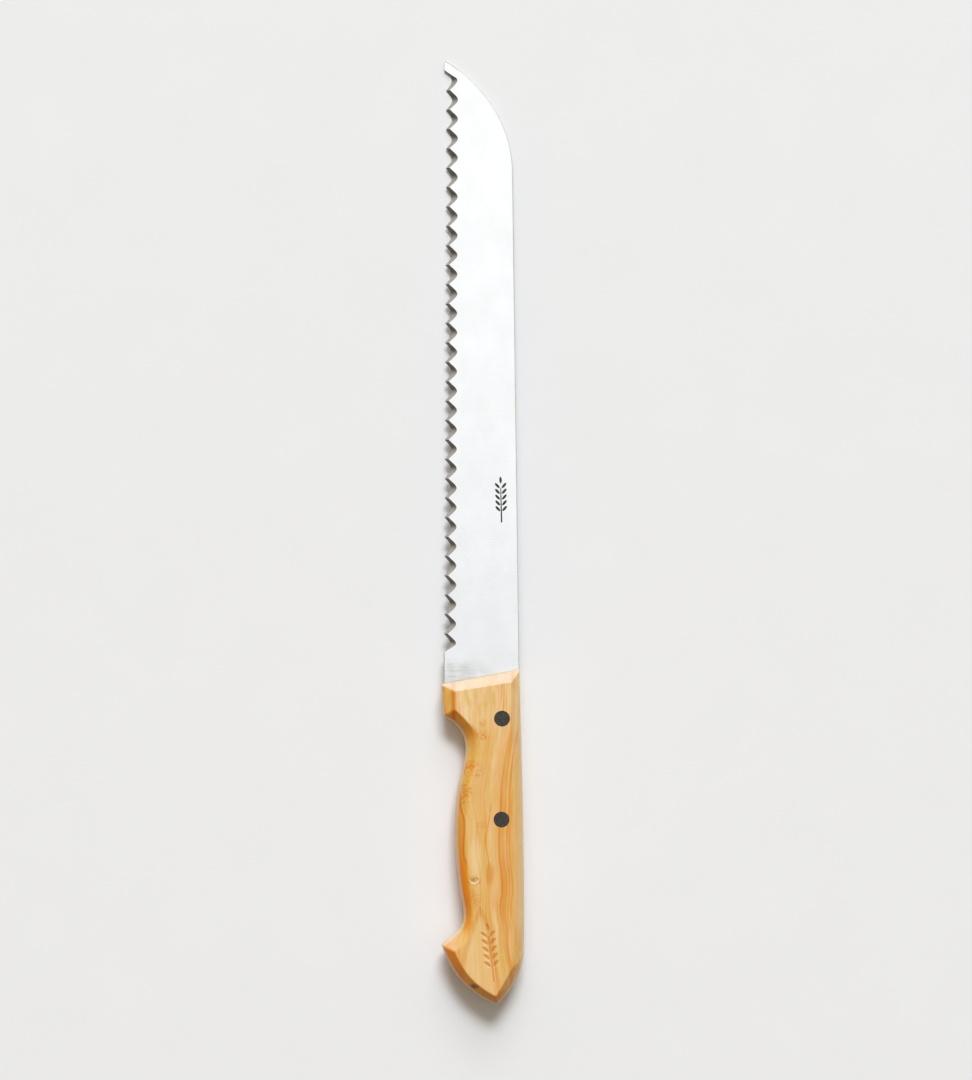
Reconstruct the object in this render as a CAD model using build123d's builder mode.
from build123d import *
import math
import os

# Bread knife with a scalloped, single-bevel blade and a riveted boxwood handle.
#
# The knife lies on its side. X runs from the cutting edge (-X) to the spine (+X), Y from the
# butt (-Y) to the tip (+Y), and Z is up, with the bevelled side of the blade on top. The
# origin is the middle of the bounding box in X and Y, at the level of the surface it lies on.
# Millimetres.

os.makedirs("parts", exist_ok=True)

# Overall
handle_thickness = 20.0
mid_z = handle_thickness / 2
blade_thickness = 1.6
blade_bottom = mid_z - blade_thickness / 2

# Blade outline, seen from above
tip = (-15.5, 191.7)
tip_belly = (4.5, 172.4)
spine_start = (12.15, 146.3)
heel_high = (14.8, -55.6)
edge_x = -15.8
tip_angle = 30.0
edge_deburr = 0.25

# Scalloped edge: a row of concave scallops with a bevel on the upper side only
scallop_count = 30
first_tooth = (-15.55, 188.0)
second_tooth = (-14.95, 179.8)
last_tooth = (edge_x, -49.0)
scallop_depth = 2.6
scallop_flank_angle = 42.0
bevel_depth = 3.3
bevel_flank_angle = 47.0
bevel_width_at_tooth = 1.6

# Half tang and the slot that takes it, both open to the spine
tang_low_x = -0.5
tang_end_y = -134.0
tang_corner_radius = 4.0
slot_side_gap = 0.3
slot_end_gap = 0.6

# Cutler's rivets
rivet_positions = {"front": (7.75, -75.0), "rear": (7.55, -115.7)}
rivet_head_diameter = 6.35
rivet_head_height = 2.0
rivet_head_break = 0.12
rivet_tube_diameter = 4.2
rivet_pin_diameter = 2.8
rivet_bore_bottom = 3.5
rivet_tube_end_gap = 0.5
rivet_pin_end_gap = 0.8

# Ear of wheat pressed into the flat near the butt
stamp_centre = (3.0, -169.3)
stamp_x_direction = (1, 0.12, 0)
stamp_depth = 0.3
ear_length = 24.0
ear_stem_width = 0.8
ear_grain_pairs = 5
ear_grain_pitch = 3.0
ear_grain_offset = 1.75
ear_grain_radii = (0.75, 1.95)
ear_grain_lean = 42.0

# Handle bevels
bevel_height = 4.0
wall_levels = (0.0, 3.0, 6.0)
bevel_levels = (6.0, 8.0, 9.2, 9.8, 10.0)

# Handle outline. Each station is (outer point, point on the flat, flare, softness). The flare
# is the share of the way between the two points that the wall below the bevel covers. A
# softness of 0 gives a straight bevel below the flat, and 1 a fully rounded side.
front_low = ((-16.5, -61.5), (-10.9, -63.7), 0.0, 0.0)
front_high = (heel_high, (11.4, -60.1), 0.0, 0.0)
spine_middle = ((16.15, -107.0), (12.3, -107.0), 0.15, 0.25)
spine_rear = ((16.7, -148.0), (12.5, -148.0), 0.15, 0.35)
shoulder = ((16.6, -171.5), (12.1, -175.7), 0.25, 0.1)
butt_upper = ((14.0, -180.5), (9.9, -179.4), 0.35, 0.0)
butt_point = ((5.8, -191.7), (5.35, -187.1), 0.35, 0.0)
butt_lower = ((-8.35, -182.4), (-4.9, -179.6), 0.35, 0.0)
nose = ((-16.7, -167.3), (-11.3, -168.9), 0.25, 0.1)
beak_top = ((-12.1, -163.4), (-7.8, -166.3), 0.1, 0.3)
hollow_rear = ((-8.8, -160.0), (-4.9, -161.8), 0.0, 0.6)
hollow = ((-7.8, -155.2), (-2.9, -155.6), 0.0, 0.9)
belly_rear = ((-8.9, -148.0), (-3.3, -148.0), 0.0, 1.0)
belly_swell = ((-10.4, -137.3), (-4.6, -137.3), 0.0, 1.0)
belly = ((-11.3, -123.5), (-5.4, -123.5), 0.0, 1.0)
belly_front = ((-10.7, -108.0), (-4.9, -108.3), 0.0, 1.0)
neck_rear = ((-8.95, -98.3), (-3.4, -99.0), 0.0, 0.9)
throat = ((-7.1, -90.0), (-2.0, -91.2), 0.1, 0.6)
notch_deep = ((-7.1, -86.2), (-1.95, -86.2), 0.25, 0.4)
notch_bend = ((-8.0, -82.4), (-2.9, -81.3), 0.35, 0.15)
notch_upper = ((-9.85, -79.3), (-5.0, -78.1), 0.35, 0.0)
notch_lip = ((-12.95, -76.4), (-8.1, -74.4), 0.3, 0.0)
guard = ((-16.05, -74.4), (-11.4, -71.4), 0.15, 0.0)

handle_runs = (
    (front_low, front_high),
    (front_high, spine_middle, spine_rear, shoulder),
    (shoulder, butt_upper, butt_point),
    (butt_point, butt_lower, nose),
    (nose, beak_top, hollow_rear, hollow, belly_rear, belly_swell, belly, belly_front,
     neck_rear, throat, notch_deep, notch_bend, notch_upper, notch_lip, guard),
    (guard, front_low),
)


def inset_share(height, flare, softness):
    """How far the outline has moved from the outer point to the flat, from 0 to 1."""
    wall_height = mid_z - bevel_height
    wall = flare * min(1.0, height / wall_height) ** 2
    bevel = (1 - flare) * max(0.0, (height - wall_height) / bevel_height)
    rounded = 1 - math.sqrt(max(0.0, 1 - (height / mid_z) ** 2))
    return (1 - softness) * (wall + bevel) + softness * rounded


def station_point(station, height):
    outer, flat, flare, softness = station
    share = inset_share(height, flare, softness)
    return tuple(a + (b - a) * share for a, b in zip(outer, flat))


def handle_section(height):
    """The handle's cross-section at a height above its middle plane."""
    with BuildSketch(Plane.XY.offset(mid_z + height)) as section:
        with BuildLine():
            for run in handle_runs:
                points = [station_point(station, height) for station in run]
                if len(points) == 2:
                    Line(*points)
                else:
                    Spline(*points)
        make_face()
    return section.sketch


def direction(angle):
    """Unit vector that leaves -Y by an angle towards +X."""
    return (math.sin(math.radians(angle)), -math.cos(math.radians(angle)))


def teeth():
    """Points of the teeth on the edge, from the tip to the heel."""
    points = [first_tooth]
    for step in range(scallop_count):
        share = step / (scallop_count - 1)
        points.append(tuple(a + (b - a) * share for a, b in zip(second_tooth, last_tooth)))
    return points


def blade_section(level, tooth_inset, depth, flank_angle):
    """Blade outline at a level, with scallops of a depth that start behind each tooth."""
    (low_x, low_y), (high_x, high_y) = front_low[0], heel_high
    front_slope = (high_y - low_y) / (high_x - low_x)
    heel_low = (edge_x, high_y - (high_x - edge_x) * front_slope)
    edge = teeth()
    rim = [edge[0], *[(x + tooth_inset, y) for x, y in edge[1:-1]], edge[-1]]
    with BuildSketch(Plane.XY.offset(level)) as section:
        with BuildLine():
            front = TangentArc(tip, tip_belly, tangent=direction(90 - tip_angle))
            TangentArc(tip_belly, spine_start, tangent=front % 1)
            Polyline(spine_start, heel_high, heel_low, last_tooth)
            for step, (upper, lower) in enumerate(zip(rim, rim[1:])):
                base_x = (edge[step][0] + edge[step + 1][0]) / 2 + tooth_inset
                valley = (base_x + depth, (upper[1] + lower[1]) / 2)
                Spline(
                    upper,
                    valley,
                    lower,
                    tangents=[direction(flank_angle), direction(-flank_angle)],
                )
            Line(first_tooth, tip)
        make_face()
    return section.sketch


def saw_cut(low_x, end_y):
    """Region from a low side and a rear end, running out past the spine and the front."""
    beyond_x = 2 * heel_high[0]
    with BuildSketch(Plane.XY.offset(blade_bottom)) as region:
        with BuildLine():
            FilletPolyline(
                (low_x, 0), (low_x, end_y), (beyond_x, end_y), radius=tang_corner_radius
            )
            Polyline((beyond_x, end_y), (beyond_x, 0), (low_x, 0))
        make_face()
    return region.sketch


def wheat_ear():
    """An ear of wheat: a stem, pairs of leaning grains and a last grain on top."""
    with BuildSketch() as ear:
        with Locations((0, -ear_length / 2)):
            Rectangle(ear_stem_width, ear_length * 0.75, align=(Align.CENTER, Align.MIN))
        for pair in range(ear_grain_pairs):
            grain_y = ear_length / 2 - ear_grain_pitch * (pair + 1.6)
            for side in (-1, 1):
                with Locations((side * ear_grain_offset, grain_y)):
                    Ellipse(*ear_grain_radii, rotation=-side * ear_grain_lean)
        with Locations((0, ear_length / 2 - ear_grain_radii[1])):
            Ellipse(*ear_grain_radii)
    return ear.sketch


# Blade with its half tang
with BuildPart() as blade:
    loft(
        [
            blade_section(blade_bottom, 0, scallop_depth, scallop_flank_angle),
            blade_section(
                blade_bottom + blade_thickness,
                bevel_width_at_tooth,
                bevel_depth,
                bevel_flank_angle,
            ),
        ],
        ruled=True,
    )
    levels = blade.edges().group_by(Axis.Z)
    outline = levels[0] + levels[-1]
    spine = outline.filter_by(lambda edge: edge.center().X > -10 and edge.center().Y > 0)
    heel = outline.filter_by(lambda edge: edge.center().X < edge_x + 0.01)
    chamfer(spine + heel.filter_by(Axis.Y), edge_deburr)
    with BuildSketch(Plane.XY.offset(blade_bottom)):
        add(handle_section(0).moved(Location((0, 0, blade_bottom - mid_z))))
        add(saw_cut(tang_low_x, tang_end_y), mode=Mode.INTERSECT)
    extrude(amount=blade_thickness)
    with Locations(*[(x, y, mid_z) for x, y in rivet_positions.values()]):
        Cylinder(rivet_tube_diameter / 2, 2 * blade_thickness, mode=Mode.SUBTRACT)

# Boxwood handle: upper half from the middle plane, mirrored to the lower half
with BuildPart() as handle:
    loft([handle_section(height) for height in wall_levels])
    loft([handle_section(height) for height in bevel_levels])
    mirror(about=Plane.XY.offset(mid_z))
    extrude(
        saw_cut(tang_low_x - slot_side_gap, tang_end_y - slot_end_gap),
        amount=blade_thickness,
        mode=Mode.SUBTRACT,
    )
    for face_z, outward in ((handle_thickness, 1), (0, -1)):
        for x, y in rivet_positions.values():
            with Locations(Plane((x, y, face_z), x_dir=(1, 0, 0), z_dir=(0, 0, outward))):
                CounterBoreHole(
                    rivet_tube_diameter / 2,
                    rivet_head_diameter / 2,
                    rivet_head_height,
                    depth=handle_thickness,
                )
    stamp_plane = Plane(
        (*stamp_centre, handle_thickness - stamp_depth), x_dir=stamp_x_direction
    )
    with BuildSketch(stamp_plane):
        add(wheat_ear())
    extrude(amount=2 * stamp_depth, mode=Mode.SUBTRACT)

pieces = {"blade": blade, "handle": handle}

# Two cutler's rivets, each a tube with a head below and a pin with a head above
for place, (x, y) in rivet_positions.items():
    with BuildPart() as rivet_tube:
        with BuildSketch(Plane((x, y, 0))):
            Circle(rivet_head_diameter / 2)
        extrude(amount=rivet_head_height)
        chamfer(rivet_tube.edges().sort_by(Axis.Z)[0], rivet_head_break)
        with BuildSketch(Plane((x, y, rivet_head_height))):
            Circle(rivet_tube_diameter / 2)
        extrude(amount=handle_thickness - 2 * rivet_head_height - rivet_tube_end_gap)
        with BuildSketch(Plane((x, y, rivet_bore_bottom))):
            Circle(rivet_pin_diameter / 2)
        extrude(amount=handle_thickness, mode=Mode.SUBTRACT)
    pieces[f"{place}_rivet_tube"] = rivet_tube

    with BuildPart() as rivet_pin:
        with BuildSketch(Plane((x, y, handle_thickness - rivet_head_height))):
            Circle(rivet_head_diameter / 2)
        extrude(amount=rivet_head_height)
        chamfer(rivet_pin.edges().sort_by(Axis.Z)[-1], rivet_head_break)
        with BuildSketch(Plane((x, y, rivet_bore_bottom + rivet_pin_end_gap))):
            Circle(rivet_pin_diameter / 2)
        extrude(until=Until.NEXT)
    pieces[f"{place}_rivet_pin"] = rivet_pin

for name, piece in pieces.items():
    piece.part.label = name
    export_step(piece.part, f"parts/{name}.step")
